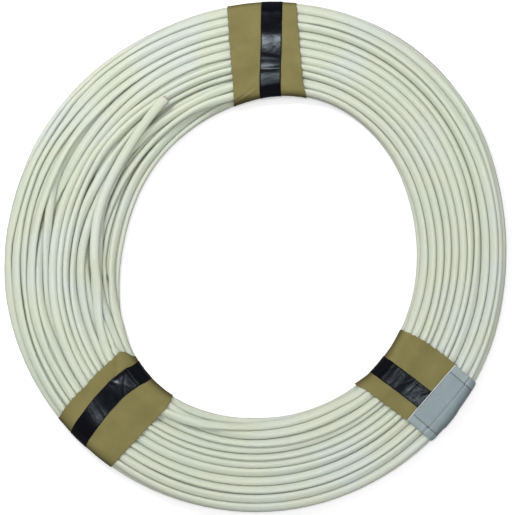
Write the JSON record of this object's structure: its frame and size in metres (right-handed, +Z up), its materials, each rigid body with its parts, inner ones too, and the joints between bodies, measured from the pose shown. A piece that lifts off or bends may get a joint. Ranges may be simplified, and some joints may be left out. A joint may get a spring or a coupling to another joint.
{
  "type": "bound coil of flat two-core cable",
  "caption": "Flat round coil of sheathed twin cable with no reel, bound by paper wraps under tape bands, with a loose cut end on top and a label folded over the rim.",
  "frame": {"origin": "on the surface that the coil lies on, under the middle of its bounding box", "axes": "+Z up along the coil's axis, out of the face that carries the loose end; +Y towards the top paper wrap; +X to the right of it, seen from above"},
  "size_m": [0.454, 0.463, 0.0295],
  "materials": {
    "sheath_pvc": "off-white flexible PVC sheath, satin",
    "insulation_blue": "blue PVC core insulation",
    "insulation_brown": "brown PVC core insulation",
    "conductor_copper": "bare solid copper, cut bright",
    "kraft_paper": "creased brown kraft paper",
    "black_tape": "black PVC electrical tape, glossy, stretched",
    "label_card": "blank pale blue-grey card",
    "label_film": "thin creased adhesive film"
  },
  "bodies": {
    "root": {"coil_winding": "sheath_pvc", "free_end_sheath": "sheath_pvc", "free_end_insulation_blue": "insulation_blue", "free_end_insulation_brown": "insulation_brown", "free_end_conductor_blue": "conductor_copper", "free_end_conductor_brown": "conductor_copper", "paper_wrap_top": "kraft_paper", "paper_wrap_left": "kraft_paper", "paper_wrap_right": "kraft_paper", "tape_band_top": "black_tape", "tape_band_left": "black_tape", "tape_band_right": "black_tape", "label_card": "label_card", "label_film": "label_film"}
  },
  "joints": []
}
